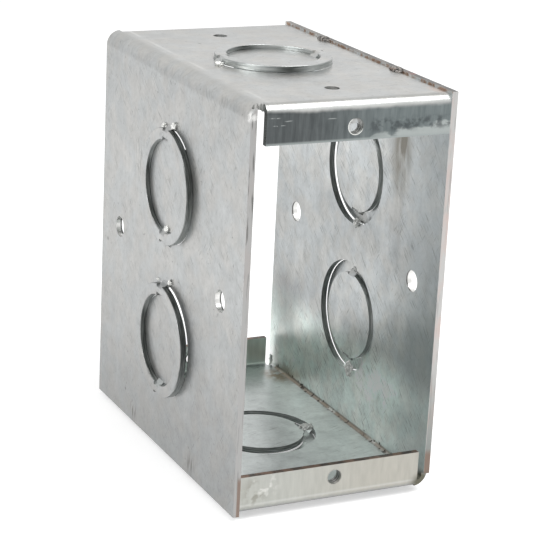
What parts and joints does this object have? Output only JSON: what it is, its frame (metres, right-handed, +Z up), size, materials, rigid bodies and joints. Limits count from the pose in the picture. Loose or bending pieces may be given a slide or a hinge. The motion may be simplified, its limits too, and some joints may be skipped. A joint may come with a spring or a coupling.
{
  "type": "through-wall electrical box",
  "caption": "One-gang masonry box of galvanised sheet steel, open at the front and rear, with device flanges at both faces and concentric knockouts in its four walls",
  "frame": {"origin": "middle of the footprint at the lowest point, which is the ring of the bottom knockout", "axes": "X is the width, Y the depth from the front face (-Y) through the wall to the rear face (+Y), Z is up"},
  "size_m": [0.0548, 0.0856, 0.0984],
  "materials": {
    "zinc_sheet": "hot-dip galvanised sheet, satin, with rust on its cut edges",
    "weld_metal": "burnt tack weld, dark and rough"
  },
  "bodies": {
    "root": {"left_top_shell": "zinc_sheet", "right_bottom_shell": "zinc_sheet", "top_seam_weld_front": "weld_metal", "top_seam_weld_rear": "weld_metal", "bottom_seam_weld_front": "weld_metal", "bottom_seam_weld_rear": "weld_metal"}
  },
  "joints": []
}
